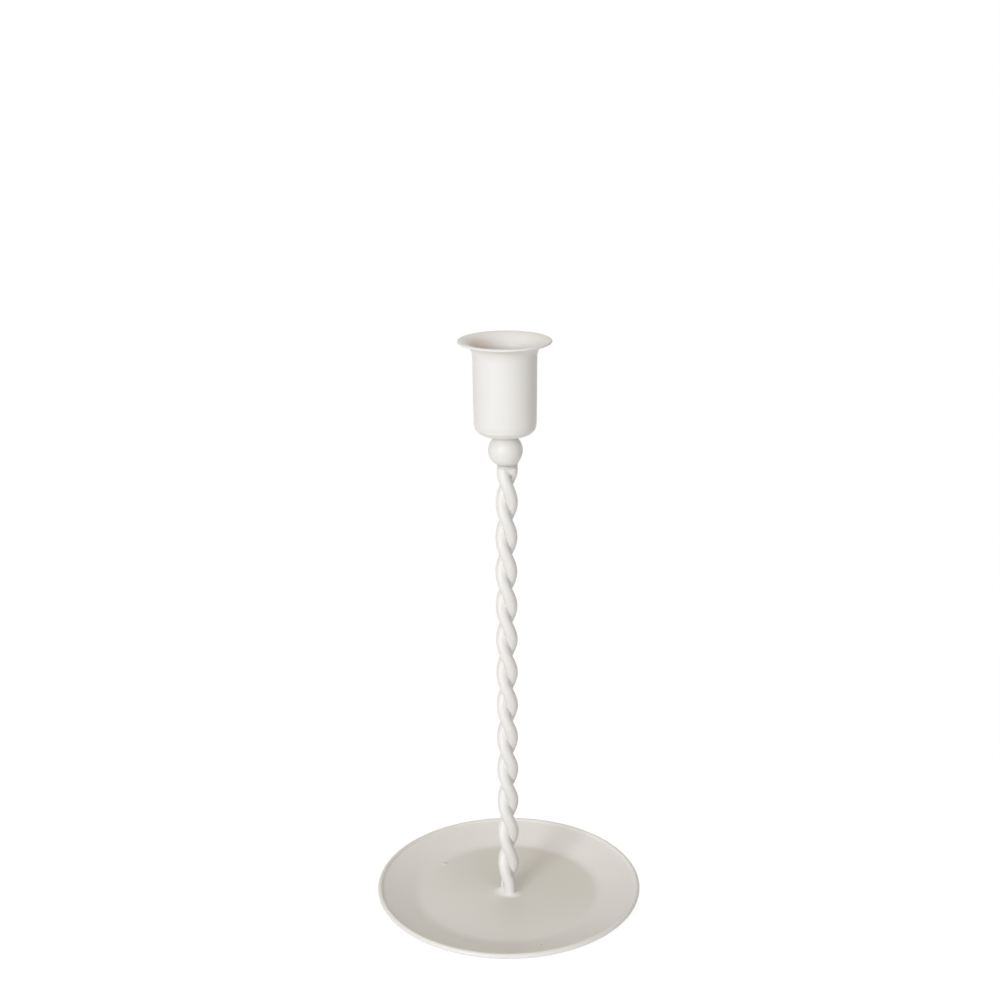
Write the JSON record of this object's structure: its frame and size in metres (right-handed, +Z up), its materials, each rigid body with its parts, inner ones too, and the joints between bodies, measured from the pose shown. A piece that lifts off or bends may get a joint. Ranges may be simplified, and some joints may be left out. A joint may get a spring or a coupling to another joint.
{
  "type": "candlestick",
  "caption": "Candlestick with a shallow round drip dish, a stem of rods twisted together, a ball and a flared cup that holds a dinner candle upright.",
  "frame": {"origin": "centre of the dish's flat underside, on the surface that the candlestick stands on", "axes": "+Z up along the stem and out of the candle cup's mouth; +X to the right and +Y away from the viewer as the picture shows the candlestick"},
  "size_m": [0.1154, 0.1154, 0.2498],
  "materials": {
    "white_paint": "warm off-white semi-gloss paint over steel, slightly uneven",
    "plated_steel": "plain zinc plating on the screw, satin"
  },
  "bodies": {
    "root": {"drip_dish": "white_paint", "foot_weld": "white_paint", "stem_rod_a": "white_paint", "stem_rod_b": "white_paint", "neck_collar": "white_paint", "ball": "white_paint", "candle_cup": "white_paint", "cup_screw": "plated_steel"}
  },
  "joints": []
}
